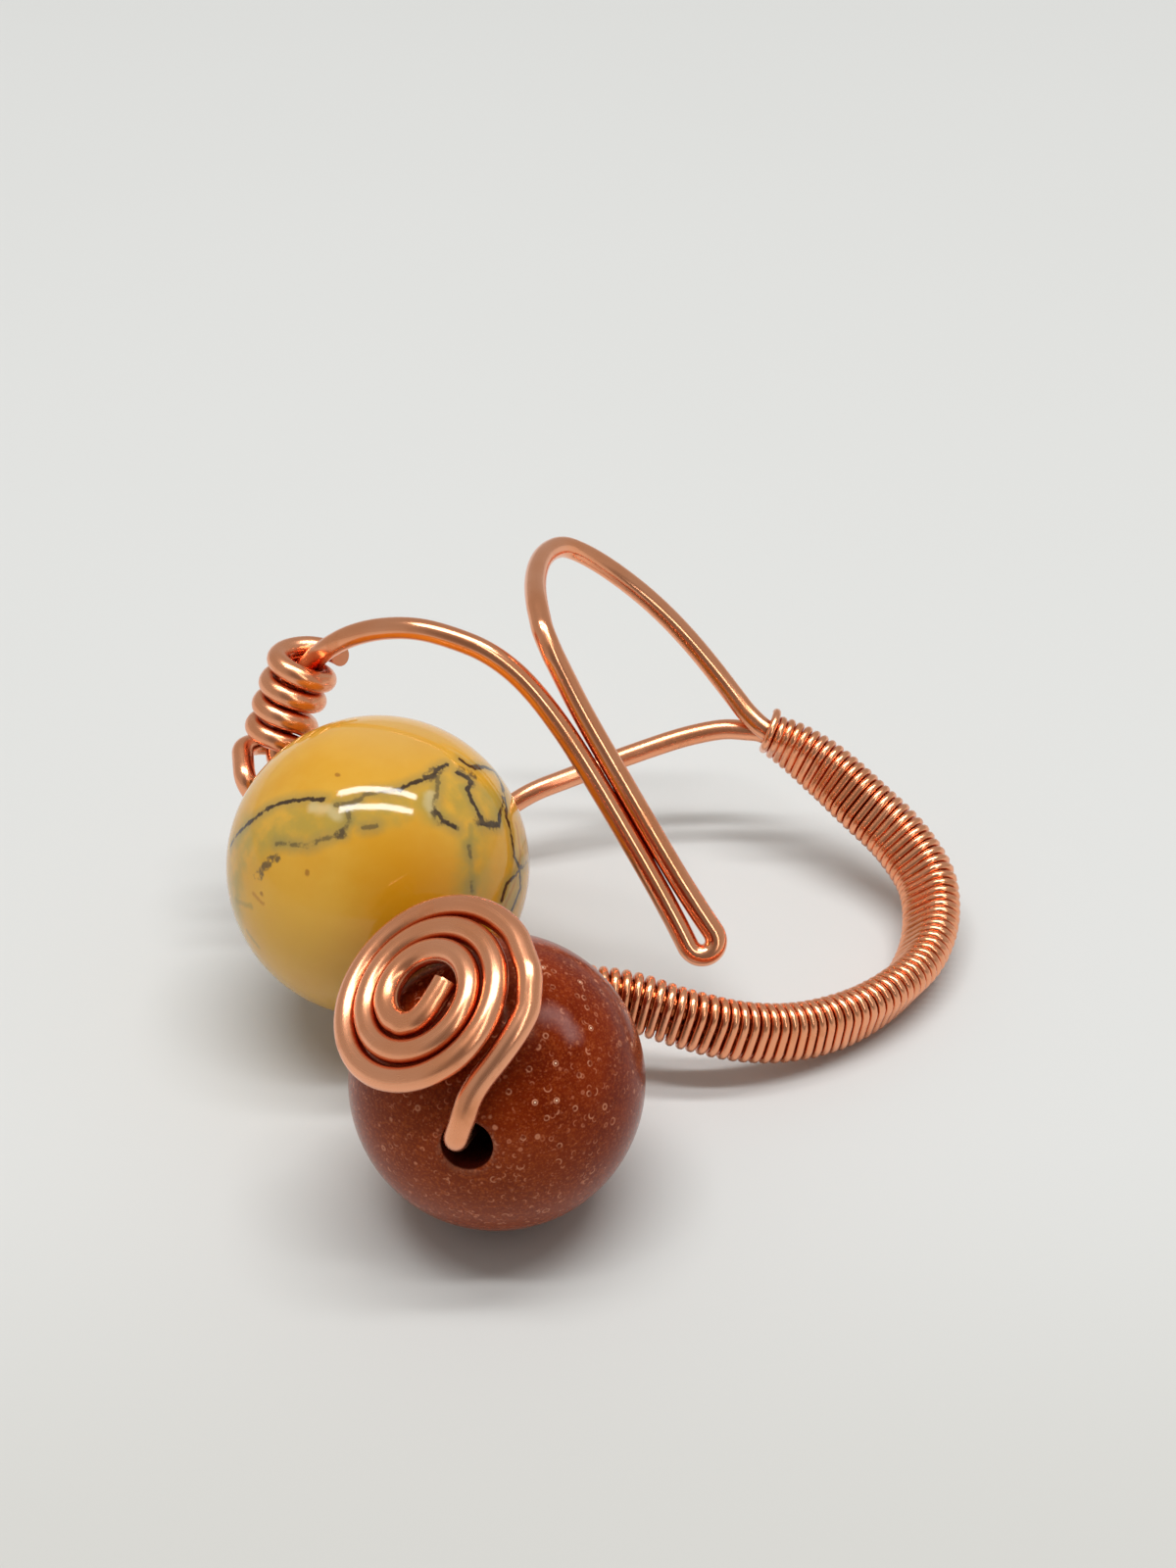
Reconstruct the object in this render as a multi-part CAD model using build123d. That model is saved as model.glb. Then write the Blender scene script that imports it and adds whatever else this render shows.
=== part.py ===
from build123d import *
import os
from math import cos, pi, radians, sin, tan

# A finger ring bent from two copper wires, with two drilled beads, a flat spiral, a hairpin and a coil.
# It lies on its side. Places are worked out from the foot of the brown bead, where it stands on the table:
# X runs to the right along the table, Y away behind the bead and Z up. At the end everything is moved
# so that the origin is the middle of the underside of the whole ring.

# Driving dimensions in millimetres
ring_bore = 16.5             # inside diameter of the band
wire_diameter = 1.0          # the two long wires
wrap_diameter = 0.41         # the fine wire wound round them
brown_bead_diameter = 12.0
yellow_bead_diameter = 13.3
hole_clearance = 0.5         # radial, round the wire in a bead's hole
bead_spacing = 0.5           # between the two beads: a wire squeezes through beside the place where they are nearest
bead_gap = 0.22              # between the brown bead and the band
wire_gap = 0.05              # between wires that lie side by side
wrap_clearance = 0.03        # between the fine wire and the wires that it is wound on
wrap_gap_middle = 0.04       # between neighbouring turns of the fine wire at the middle of the band
wrap_gap_ends = 0.09         # and at its two ends, where it is looser
wrap_trim = 0.3              # core wire that shows at each end of the wrapping
end_gap = 0.4                # between the ends of the hairpin wire, which meet inside the wrapping
spiral_radius = 4.35         # to the middle of the outermost turn
spiral_turns = 3.1
spiral_rise = 0.2            # the spiral is slightly domed: rise of each turn towards its centre
spiral_flare = 0.2           # the outermost turn opens this far where the straight shank leaves it,
spiral_dip = 0.2             # dips this far towards the bead,
spiral_leaving = 1 / 6       # and does both over this share of a turn
spiral_lift = 0.04           # clearance of the spiral's plane over the brown bead
hairpin_length = 11.5        # straight legs, as far as the round of the tip
coil_base = -0.05            # height of the coil's loop over the bend at the yellow bead
coil_mouth = 4.3             # and of the place where the hairpin wire leaves the coil's axis
bend_radius = 0.8            # of the sharp bends at the beads' holes, to the wire's middle
front_stub = 1.05            # how far those bends stand off: at the front of the brown bead,
yellow_front_stub = 0.5      # at the front of the yellow one
yellow_rear_stub = 2.1       # and behind it, where the coil is
band_lead = 1.25             # from the bend behind the brown bead to the start of the wrapping
rim_round = 0.15             # rounding of the rims of the beads' holes
eased_share = 0.45           # of a run between two chosen points that the arc at each of them takes up
spiral_steps = 12            # chosen points in a turn of the spiral and of the coil
tip_steps = 6                # and in the half turn at the hairpin's tip
band_stations = 32           # points of a core wire along the band
wrap_steps = 8               # facets of the fine wire in one turn
wrap_sides = 6               # and round its section

wire_radius = wire_diameter / 2
wrap_radius = wrap_diameter / 2
brown_radius = brown_bead_diameter / 2
yellow_radius = yellow_bead_diameter / 2
hole_radius = wire_radius + hole_clearance
leg_offset = (wire_diameter + wire_gap) / 2
wound_radius = wire_radius + wrap_clearance + wrap_radius
band_half_thickness = wound_radius + wrap_radius

# Directions, as unit vectors once normalized
brown_hole = Vector(-0.164, -0.942, 0.292).normalized()      # out of the front end of the hole
yellow_wire_front = Vector(0.670, -0.730, -0.130).normalized()   # where its wire enters it, low at the front
yellow_wire_rear = Vector(-0.606, 0.788, 0.109).normalized()     # and leaves it: slightly askew in the hole
between_beads = Vector(-0.422, 0.895, 0.142).normalized()    # from the brown bead to the yellow one
spiral_normal = Vector(-0.478, -0.286, 0.830).normalized()
spiral_seat = Vector(-0.375, -0.273, 0.886).normalized()     # from the brown bead to the spiral's centre
coil_up = Vector(0.330, 0.300, 0.890).normalized()
leg_across = Vector(0.82, 0.333, 0.466)                      # from the left leg of the hairpin to the right

# Chosen points of the wires. Those of the band and of the free wire follow the bore: each is a share of
# ring_bore, from the point of the table under the centre of the band. A band row has a lean as well, the
# direction from the first core wire to the second.
BAND_ROWS = [
    # x, y, z, lean x, lean y, lean z
    (-0.485, -0.509, 0.272, 0.00, 0.00, 1.00),
    (-0.309, -0.520, 0.254, 0.00, 0.00, 1.00),
    (-0.158, -0.545, 0.212, 0.00, 0.00, 1.00),
    (-0.024, -0.539, 0.166, 0.05, 0.00, 1.00),
    (0.109, -0.503, 0.127, 0.12, 0.00, 1.00),
    (0.248, -0.436, 0.103, 0.25, 0.00, 1.00),
    (0.394, -0.321, 0.092, 0.45, -0.10, 1.00),
    (0.503, -0.176, 0.090, 0.70, -0.10, 0.90),
    (0.558, -0.012, 0.112, 0.80, 0.00, 0.75),
    (0.558, 0.121, 0.150, 0.80, 0.20, 0.70),
    (0.497, 0.242, 0.200, 0.70, 0.40, 0.62),
    (0.388, 0.352, 0.261, 0.64, 0.30, 0.64),
    (0.279, 0.455, 0.315, 0.50, -0.05, 0.72),
    (0.170, 0.521, 0.364, 0.22, -0.52, 0.72),
    (0.109, 0.539, 0.388, 0.00, -0.81, 0.58),
]
REAR_RUN = [
    (-0.004, 0.582, 0.369),
    (-0.073, 0.584, 0.354),
    (-0.149, 0.575, 0.337),
    (-0.237, 0.559, 0.312),
    (-0.354, 0.531, 0.281),
    (-0.476, 0.487, 0.254),
    (-0.586, 0.452, 0.229),
    (-0.685, 0.418, 0.170),
    (-0.788, 0.382, 0.097),
    (-0.891, 0.345, 0.047),
]
ARCH = [
    (0.055, 0.556, 0.442),
    (-0.010, 0.618, 0.505),
    (-0.068, 0.661, 0.567),
    (-0.120, 0.685, 0.624),
    (-0.181, 0.709, 0.683),
    (-0.242, 0.727, 0.740),
    (-0.309, 0.739, 0.792),
    (-0.378, 0.739, 0.848),
    (-0.441, 0.727, 0.898),
    (-0.488, 0.685, 0.935),
    (-0.529, 0.606, 0.961),
    (-0.552, 0.509, 0.979),
    (-0.561, 0.388, 0.990),
    (-0.554, 0.267, 0.997),
    (-0.536, 0.164, 0.971),
    (-0.509, 0.115, 0.927),
]
HAIRPIN_START = (-0.470, 0.061, 0.783)
HAIRPIN_END = (-0.119, -0.285, 0.290)
ARC = [
    (-1.170, 0.281, 0.809),
    (-1.123, 0.254, 0.863),
    (-1.061, 0.227, 0.916),
    (-0.975, 0.203, 0.954),
    (-0.872, 0.166, 0.978),
    (-0.774, 0.136, 0.969),
    (-0.675, 0.112, 0.942),
    (-0.588, 0.087, 0.887),
]
# The wire's way up behind and under the yellow bead: shares of that bead's radius from its centre
UNDER_BEAD = [
    (-0.287, 1.259, -0.997),
    (-0.453, 1.123, -0.681),
    (-0.603, 0.988, -0.320),
    (-0.752, 0.812, -0.035),
    (-0.900, 0.790, -0.020),
    (-0.965, 0.771, 0.148),
]
# Where it touches the table: shares of the same radius, to the right of and behind that centre
ON_TABLE = [(0.059, 1.409), (-0.107, 1.356)]
COIL_ROWS = [
    # turns wound, rise as a share of the pitch, radius and shift to the right as shares of the wire's diameter
    (0.00, 0.00, 1.50, 0.00),
    (0.25, 0.28, 1.32, 0.00),
    (0.50, 0.78, 1.20, -0.02),
    (0.64, 1.21, 1.17, -0.06),
    (1.00, 1.27, 1.17, -0.12),
    (1.50, 1.90, 1.18, -0.12),
    (1.64, 2.23, 1.18, -0.12),
    (2.00, 2.32, 1.18, -0.12),
    (2.64, 3.22, 1.18, -0.12),
    (3.00, 3.35, 1.18, -0.12),
    (3.64, 4.22, 1.24, -0.01),
    (4.00, 4.50, 1.24, -0.04),
    (4.25, 5.15, 1.27, 0.10),
    (4.46, 5.36, 1.45, 0.20),
]

brown_centre = Vector(0, 0, brown_radius)
yellow_centre = brown_centre + between_beads * (brown_radius + yellow_radius + bead_spacing)
band_front_y = brown_radius + bead_gap + band_half_thickness
band_corner = brown_centre - brown_hole * (-band_front_y / brown_hole.Y)
ring_centre = Vector(
    band_corner.X + band_lead - BAND_ROWS[0][0] * ring_bore,
    band_front_y - BAND_ROWS[0][1] * ring_bore,
    0,
)
yellow_entry = yellow_centre + yellow_wire_front * (yellow_radius + yellow_front_stub)
yellow_bend = yellow_centre + yellow_wire_rear * (yellow_radius + yellow_rear_stub)
yellow_hole = (yellow_bend - yellow_entry).normalized()


def unit(vector):
    return vector.normalized()


def square_to(vector, axis):
    """The part of vector that is square to a unit axis, as a unit vector."""
    return unit(vector - axis * vector.dot(axis))


def by_bore(shares):
    return ring_centre + Vector(*shares) * ring_bore


def by_yellow_bead(shares):
    return yellow_centre + Vector(*shares) * yellow_radius


def between_rows(rows, place):
    """The values of a table at a place, which is its first column, in a straight line between rows."""
    for low, high in zip(rows, rows[1:]):
        if place <= high[0]:
            break
    share = (place - low[0]) / (high[0] - low[0])
    return [a + (b - a) * share for a, b in zip(low[1:], high[1:])]


def eased_radii(points):
    """For each corner the largest arc that its two runs allow, with a little of the run left straight."""
    radii = []
    for before, corner, after in zip(points, points[1:], points[2:]):
        run = min((corner - before).length, (after - corner).length)
        turn = radians((corner - before).get_angle(after - corner))
        radii.append(eased_share * run / tan(turn / 2))
    return radii


def wire_path(points, sharp=()):
    """Straight runs joined by tangent arcs. The corners that sharp lists, by their place among the
    points, have the sharp bend's radius."""
    radii = eased_radii(points)
    for place in sharp:
        radii[place - 1] = min(bend_radius, radii[place - 1])
    return FilletPolyline(*points, radius=radii)


def round_wire(path):
    section = Plane(origin=path @ 0, z_dir=path % 0) * Circle(wire_radius)
    return sweep(section, path=path)


band_line = Spline(*[by_bore(row[:3]) for row in BAND_ROWS])
row_gaps = [
    (by_bore(high[:3]) - by_bore(low[:3])).length for low, high in zip(BAND_ROWS, BAND_ROWS[1:])
]
LEANS = [
    (sum(row_gaps[:place]) / sum(row_gaps),) + row[3:] for place, row in enumerate(BAND_ROWS)
]


def band_section(share):
    """Centre, direction and lean of the band at a share of its length."""
    centre = band_line @ share
    along = unit(band_line % share)
    lean = square_to(Vector(*between_rows(LEANS, share)), along)
    return centre, along, lean


def core_points(side, start, end):
    """Points of a core wire from one share of the band's length to another; side is -1 or 1."""
    count = max(2, round(band_stations * abs(end - start)))
    points = []
    for step in range(count + 1):
        centre, along, lean = band_section(start + (end - start) * step / count)
        points.append(centre + lean * leg_offset * side)
    return points


def spiral_points():
    """From the tip at the spiral's centre to the start of its outermost turn."""
    centre = brown_centre + spiral_seat * (brown_radius + wire_radius + spiral_lift) / (
        spiral_seat.dot(spiral_normal)
    )
    right = square_to(Vector(1, 0, 0), spiral_normal)
    back = spiral_normal.cross(right)
    pitch = wire_diameter + 2 * wire_gap
    count = round(spiral_turns * spiral_steps)
    points = []
    for step in range(count, -1, -1):
        turns = step / spiral_steps
        angle = 2 * pi * turns
        outwards = right * cos(angle) + back * sin(angle)
        leaving = max(0, 1 - turns / spiral_leaving)
        radius = spiral_radius - pitch * turns + spiral_flare * leaving
        rise = spiral_rise * turns - spiral_dip * leaving
        points.append(centre + outwards * radius + spiral_normal * rise)
    return points


def coil_points():
    """From the loop at the left of the yellow bead up to the cut end."""
    left = square_to(Vector(-1, 0, 0), coil_up)
    back = left.cross(coil_up)
    pitch = wire_diameter + wire_gap
    last = COIL_ROWS[-1][0]
    count = round(last * spiral_steps)
    points = []
    for step in range(count + 1):
        turns = last * step / count
        rise, radius, aside = between_rows(COIL_ROWS, turns)
        outwards = left * cos(2 * pi * turns) + back * sin(2 * pi * turns)
        base = yellow_bend + coil_up * (coil_base + rise * pitch)
        points.append(base + (outwards * radius - left * aside) * wire_diameter)
    return points


def hairpin_points():
    """Down the left leg, round the tip and up the right leg."""
    start = by_bore(HAIRPIN_START)
    down = unit(by_bore(HAIRPIN_END) - start)
    across = square_to(leg_across, down)
    end = start + down * hairpin_length
    points = [start - across * leg_offset]
    for step in range(tip_steps + 1):
        angle = pi * step / tip_steps
        reach = leg_offset / cos(pi / tip_steps / 2)
        points.append(end + (down * sin(angle) - across * cos(angle)) * reach)
    points.append(start + across * leg_offset)
    return points


def spiral_wire_path():
    front_bend = brown_centre + brown_hole * (brown_radius + front_stub)
    on_table = [
        Vector(yellow_centre.X + x * yellow_radius, yellow_centre.Y + y * yellow_radius, wire_radius)
        for x, y in ON_TABLE
    ]
    spiral = spiral_points()
    points = spiral + [front_bend, band_corner]
    points += core_points(-1, 0, 1)
    points += [by_bore(shares) for shares in REAR_RUN] + on_table
    points += [by_yellow_bead(shares) for shares in UNDER_BEAD]
    points += coil_points()
    return wire_path(points, sharp=(len(spiral), len(spiral) + 1))


def hairpin_wire_path():
    length = band_line.length
    middle = 1 / 2
    half_gap = end_gap / 2 / length
    points = core_points(1, middle - half_gap, 0) + [yellow_entry, yellow_bend]
    bends = (len(points) - 2, len(points) - 1)
    points.append(yellow_bend + coil_up * coil_mouth)
    points += [by_bore(shares) for shares in ARC]
    points += hairpin_points()
    points += [by_bore(shares) for shares in reversed(ARCH)]
    points += core_points(1, 1, middle + half_gap)
    return wire_path(points, sharp=bends)


def make_bead(centre, radius, hole):
    """A drilled ball, with the rims of its hole rounded."""
    ball = Sphere(radius)
    drill = Cylinder(hole_radius, 3 * radius)
    bead = ball - drill
    rims = bead.edges().filter_by(GeomType.CIRCLE)
    bead = fillet(rims, rim_round)
    return Plane(origin=centre, z_dir=hole) * bead


def wrap_points():
    """The fine wire's path: facets round the two core wires, a pitch further on after each turn."""
    trim = wrap_trim / band_line.length
    reach = wound_radius / cos(pi / wrap_steps)
    share = trim
    step = 0
    path = []
    while share < 1 - trim:
        centre, along, lean = band_section(share)
        across = along.cross(lean)
        angle = 2 * pi * (step + 0.5) / wrap_steps
        side = 1 if cos(angle) > 0 else -1
        outwards = lean * cos(angle) + across * sin(angle)
        path.append((centre + lean * side * leg_offset + outwards * reach, outwards))
        gap = wrap_gap_middle + (wrap_gap_ends - wrap_gap_middle) * (2 * share - 1) ** 2
        share += (wrap_diameter + gap) / wrap_steps / band_line.length
        step += 1
    return path


def make_band_wrap():
    path = wrap_points()
    rings = []
    for place, (point, outwards) in enumerate(path):
        before = path[max(place - 1, 0)][0]
        after = path[min(place + 1, len(path) - 1)][0]
        along = unit(after - before)
        up = square_to(outwards, along)
        across = along.cross(up)
        rings.append([
            point + (up * cos(turn) + across * sin(turn)) * wrap_radius
            for turn in [2 * pi * side / wrap_sides for side in range(wrap_sides)]
        ])
    faces = [Face(Wire.make_polygon(rings[0][::-1])), Face(Wire.make_polygon(rings[-1]))]
    for low, high in zip(rings, rings[1:]):
        for side in range(wrap_sides):
            following = (side + 1) % wrap_sides
            corners = (low[side], low[following], high[following], high[side])
            faces.append(Face(Wire.make_polygon([corners[0], corners[1], corners[2]])))
            faces.append(Face(Wire.make_polygon([corners[0], corners[2], corners[3]])))
    return Solid(Shell(faces)), len(path) / wrap_steps


spiral_path = spiral_wire_path()
hairpin_path = hairpin_wire_path()
band_wrap, wrap_turns = make_band_wrap()
pieces = {
    "brown_bead": make_bead(brown_centre, brown_radius, brown_hole),
    "yellow_bead": make_bead(yellow_centre, yellow_radius, yellow_hole),
    "spiral_wire": round_wire(spiral_path),
    "hairpin_wire": round_wire(hairpin_path),
    "band_wrap": band_wrap,
}

# The origin goes to the middle of the underside of the whole ring
boxes = [piece.bounding_box() for piece in pieces.values()]
low_x = min(box.min.X for box in boxes)
high_x = max(box.max.X for box in boxes)
low_y = min(box.min.Y for box in boxes)
high_y = max(box.max.Y for box in boxes)
underside = min(box.min.Z for box in boxes)
origin = Vector((low_x + high_x) / 2, (low_y + high_y) / 2, underside)

os.makedirs("parts", exist_ok=True)
for name, piece in pieces.items():
    placed = Pos(*(origin * -1)) * piece
    export_step(placed, os.path.join("parts", name + ".step"))
    print(name, "volume", round(piece.volume, 3), "mm3")
for name, path in (("spiral wire", spiral_path), ("hairpin wire", hairpin_path)):
    expected = pi * wire_radius ** 2 * path.length
    print(name, round(path.length, 2), "mm long, section times length", round(expected, 3), "mm3")
print("band", round(band_line.length, 2), "mm with", round(wrap_turns, 1), "turns of fine wire")
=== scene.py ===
import random
from math import atan2, cos, pi, radians, sin, sqrt, tan

import bmesh
import bpy
from mathutils import Matrix, Vector
from mathutils.bvhtree import BVHTree


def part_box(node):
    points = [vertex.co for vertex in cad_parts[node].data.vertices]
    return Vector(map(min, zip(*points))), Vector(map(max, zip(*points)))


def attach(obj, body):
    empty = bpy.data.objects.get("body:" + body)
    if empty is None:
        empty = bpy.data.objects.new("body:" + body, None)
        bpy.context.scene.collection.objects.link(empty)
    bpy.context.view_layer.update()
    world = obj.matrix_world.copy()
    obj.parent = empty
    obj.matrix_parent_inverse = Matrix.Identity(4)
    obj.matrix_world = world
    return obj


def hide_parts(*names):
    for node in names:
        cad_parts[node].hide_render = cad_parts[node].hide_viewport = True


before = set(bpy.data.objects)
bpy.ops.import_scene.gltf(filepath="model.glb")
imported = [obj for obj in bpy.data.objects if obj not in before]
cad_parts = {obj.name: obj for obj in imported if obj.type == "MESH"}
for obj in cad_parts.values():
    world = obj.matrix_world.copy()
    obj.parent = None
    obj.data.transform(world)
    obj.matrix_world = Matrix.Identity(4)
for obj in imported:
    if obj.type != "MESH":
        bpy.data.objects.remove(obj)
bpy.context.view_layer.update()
random.seed(7)

# A finger ring bent from copper wire, lying on its side on a pale table. Lengths are in millimetres until
# they go into a mesh, and places start from the foot of the brown bead, as in the part's source.
MM = 0.001

# Sizes
ring_bore = 16.5
wire_diameter = 1.0
wrap_diameter = 0.41
brown_radius = 6.0
yellow_radius = 6.65
hole_radius = 1.0
rim_round = 0.15
bead_spacing = 0.5
bead_gap = 0.22
wire_gap = 0.05
wrap_clearance = 0.03
wrap_trim_front = 0.3
wrap_trim_rear = 0.4
end_gap = 0.4
spiral_radius = 4.35
spiral_turns = 8 / 3
spiral_rise = 0.2
spiral_flare = 0.05
spiral_dip = 0.2
spiral_leaving = 1 / 6
spiral_lift = 0.04
hairpin_length = 11.9
hairpin_tip = 0.63
coil_base = -0.05
coil_mouth = 4.3
bend_radius = 0.8
yellow_front_stub = 0.5
yellow_rear_stub = 2.1
band_lead = 1.25
spiral_steps = 12
tip_steps = 6
band_stations = 32
wrap_steps = 26
wrap_last_step = 11
wrap_unevenness = 0.012
coil_cut_back = 0.35
end_rounding = 0.25
crevice_reach = 1.5
table_half_side = 1.5

# A bend's extra control points: how near the ends and the middle of a run they may come, in shares of the run
end_margin = 0.02
middle_margin = 0.1
longest_reach = 0.75

wire_radius = wire_diameter / 2
wrap_radius = wrap_diameter / 2
leg_offset = (wire_diameter + wire_gap) / 2
wound_radius = wire_radius + wrap_clearance + wrap_radius
band_half_thickness = wound_radius + wrap_radius


def unit(*parts):
    return Vector(parts).normalized()


# Directions
brown_hole = unit(-0.164, -0.942, 0.292)
yellow_wire_front = unit(0.670, -0.730, -0.130)
yellow_wire_rear = unit(-0.606, 0.788, 0.109)
between_beads = unit(-0.422, 0.895, 0.142)
spiral_normal = unit(-0.478, -0.286, 0.830)
spiral_seat = unit(-0.375, -0.273, 0.886)
coil_up = unit(0.330, 0.300, 0.890)
leg_across = Vector((0.82, 0.333, 0.466))
coil_cut_slant = Vector((0.8, -0.6, 0.7))

# The wires' chosen points, as in the part's source: shares of the bore from the table under the band's
# centre. A band row's last three values are the lean from one core wire to the other.
BAND_ROWS = [
    (-0.485, -0.509, 0.272, 0.00, 0.00, 1.00),
    (-0.309, -0.520, 0.254, 0.00, 0.00, 1.00),
    (-0.158, -0.545, 0.212, 0.00, 0.00, 1.00),
    (-0.024, -0.539, 0.166, 0.05, 0.00, 1.00),
    (0.109, -0.503, 0.127, 0.12, 0.00, 1.00),
    (0.248, -0.436, 0.103, 0.25, 0.00, 1.00),
    (0.394, -0.321, 0.092, 0.45, -0.10, 1.00),
    (0.503, -0.176, 0.090, 0.70, -0.10, 0.90),
    (0.558, -0.012, 0.112, 0.80, 0.00, 0.75),
    (0.558, 0.121, 0.150, 0.80, 0.20, 0.70),
    (0.497, 0.242, 0.200, 0.70, 0.40, 0.62),
    (0.388, 0.352, 0.261, 0.64, 0.30, 0.64),
    (0.279, 0.455, 0.315, 0.50, -0.05, 0.72),
    (0.170, 0.521, 0.364, 0.22, -0.52, 0.72),
    (0.109, 0.539, 0.388, 0.00, -0.81, 0.58),
]
REAR_RUN = [
    (-0.004, 0.582, 0.369),
    (-0.073, 0.584, 0.354),
    (-0.149, 0.575, 0.337),
    (-0.237, 0.559, 0.312),
    (-0.354, 0.531, 0.281),
    (-0.476, 0.487, 0.254),
    (-0.586, 0.452, 0.229),
    (-0.685, 0.418, 0.170),
    (-0.788, 0.382, 0.097),
    (-0.891, 0.345, 0.047),
]
ARCH = [
    (0.055, 0.556, 0.442),
    (-0.010, 0.618, 0.505),
    (-0.068, 0.661, 0.567),
    (-0.120, 0.685, 0.624),
    (-0.181, 0.709, 0.683),
    (-0.242, 0.727, 0.740),
    (-0.309, 0.739, 0.792),
    (-0.378, 0.739, 0.848),
    (-0.441, 0.727, 0.898),
    (-0.488, 0.685, 0.935),
    (-0.529, 0.606, 0.961),
    (-0.552, 0.509, 0.979),
    (-0.561, 0.388, 0.990),
    (-0.554, 0.267, 0.997),
    (-0.536, 0.164, 0.971),
    (-0.509, 0.115, 0.927),
]
HAIRPIN_START = (-0.470, 0.061, 0.783)
HAIRPIN_END = (-0.119, -0.285, 0.290)
ARC = [
    (-1.170, 0.281, 0.809),
    (-1.123, 0.254, 0.863),
    (-1.061, 0.227, 0.916),
    (-0.975, 0.203, 0.954),
    (-0.872, 0.166, 0.978),
    (-0.774, 0.136, 0.969),
    (-0.675, 0.112, 0.942),
    (-0.588, 0.087, 0.887),
]
# Where the spiral's wire comes down over the brown bead: places in the photograph, and how far they are from
# the bead's centre
SHANK = [
    ((538.8, 1030), 7.80),
    ((527.5, 1052), 7.60),
    ((510, 1077), 7.30),
    ((490, 1102), 7.00),
    ((479, 1120), 6.85),
    ((473.5, 1138), 6.75),
]
# How it goes into the bead: reach along the hole, and how far it lies towards the hole's upper left
INTO_HOLE = [(6.28, 0.49), (5.30, 0.42), (3.00, 0.10)]
# The straight tip at the spiral's middle: turns and radius
SPIRAL_TIP = [(3.02, 1.18), (2.98, 1.00), (2.92, 0.87), (2.84, 0.92), (2.78, 1.08), (2.73, 1.26)]
# The hairpin's legs: share of their length, and half the distance between them
LEGS = [(0.04, 0.500), (0.30, 0.496), (0.64, 0.496), (0.76, 0.512), (0.90, 0.575)]
# The wrap's gap between turns, from the front to the rear of the band
WRAP_GAPS = [(0.00, 0.050), (0.12, 0.065), (0.40, 0.040), (0.65, 0.015), (1.00, 0.000)]
# The last turn of the wrap lifts off: its steps from the end, and how far each is lifted
WRAP_TAIL = [0.36, 0.27, 0.18, 0.10, 0.04]
# Shares of the yellow bead's radius, from its centre
UNDER_BEAD = [
    (-0.287, 1.259, -0.997),
    (-0.453, 1.123, -0.681),
    (-0.603, 0.988, -0.320),
    (-0.752, 0.812, -0.035),
    (-0.900, 0.790, -0.020),
    (-0.965, 0.771, 0.148),
]
ON_TABLE = [(0.059, 1.409), (-0.107, 1.356)]
# Turns wound, rise in pitches, radius and shift to the right in wire diameters
COIL_ROWS = [
    (0.00, 0.00, 1.50, 0.00),
    (0.25, 0.28, 1.32, 0.00),
    (0.50, 0.78, 1.20, -0.02),
    (0.64, 1.21, 1.17, -0.06),
    (1.00, 1.27, 1.17, -0.12),
    (1.25, 1.82, 1.18, -0.12),
    (1.50, 1.90, 1.18, -0.12),
    (1.64, 2.23, 1.18, -0.12),
    (2.00, 2.32, 1.18, -0.12),
    (2.25, 3.02, 1.18, -0.12),
    (2.64, 3.22, 1.18, -0.12),
    (3.00, 3.35, 1.18, -0.12),
    (3.25, 4.18, 1.20, -0.08),
    (3.64, 4.22, 1.24, -0.01),
    (4.00, 4.50, 1.24, -0.04),
    (4.25, 5.15, 1.27, 0.10),
    (4.46, 5.36, 1.45, 0.20),
]

brown_centre = Vector((0, 0, brown_radius))
yellow_centre = brown_centre + between_beads * (brown_radius + yellow_radius + bead_spacing)
band_front_y = brown_radius + bead_gap + band_half_thickness
band_corner = brown_centre - brown_hole * (-band_front_y / brown_hole.y)
ring_centre = Vector(
    (
        band_corner.x + band_lead - BAND_ROWS[0][0] * ring_bore,
        band_front_y - BAND_ROWS[0][1] * ring_bore,
        0,
    )
)
yellow_entry = yellow_centre + yellow_wire_front * (yellow_radius + yellow_front_stub)
yellow_bend = yellow_centre + yellow_wire_rear * (yellow_radius + yellow_rear_stub)
yellow_hole = (yellow_bend - yellow_entry).normalized()

bead_low, bead_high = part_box("brown_bead")
foot = (bead_low + bead_high) / 2 / MM - brown_centre  # the foot of the brown bead, in the part's frame


def placed(point):
    """A place from the brown bead's foot, as metres in the part's frame."""
    return (point + foot) * MM


# Camera, set up from the photograph: its place from the brown bead's centre, its pitch and its lens
camera_from_bead = Vector((3.67, -70.48, 64.97))
camera_pitch = radians(35.5)
camera_lens = 54
sensor_size = 36
picture_size = (1200, 1600)
focal_pixels = camera_lens / sensor_size * picture_size[1]

camera_data = bpy.data.cameras.new("camera")
camera_data.lens = camera_lens
camera_data.clip_start = 0.001
camera = bpy.data.objects.new("camera", camera_data)
camera.location = placed(brown_centre + camera_from_bead)
camera.rotation_euler = (pi / 2 - camera_pitch, 0, 0)
bpy.context.collection.objects.link(camera)
bpy.context.scene.camera = camera


def on_bead(pixel, centre, radius):
    """The place on a bead that a pixel of the photograph shows."""
    across = (pixel[0] - picture_size[0] / 2) / focal_pixels
    down = (pixel[1] - picture_size[1] / 2) / focal_pixels
    ray = unit(
        across,
        cos(camera_pitch) - down * sin(camera_pitch),
        -sin(camera_pitch) - down * cos(camera_pitch),
    )
    start = brown_centre + camera_from_bead - centre
    along = -start.dot(ray)
    miss = start.length_squared - along**2
    return start + ray * (along - sqrt(max(radius**2 - miss, 0)))


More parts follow.
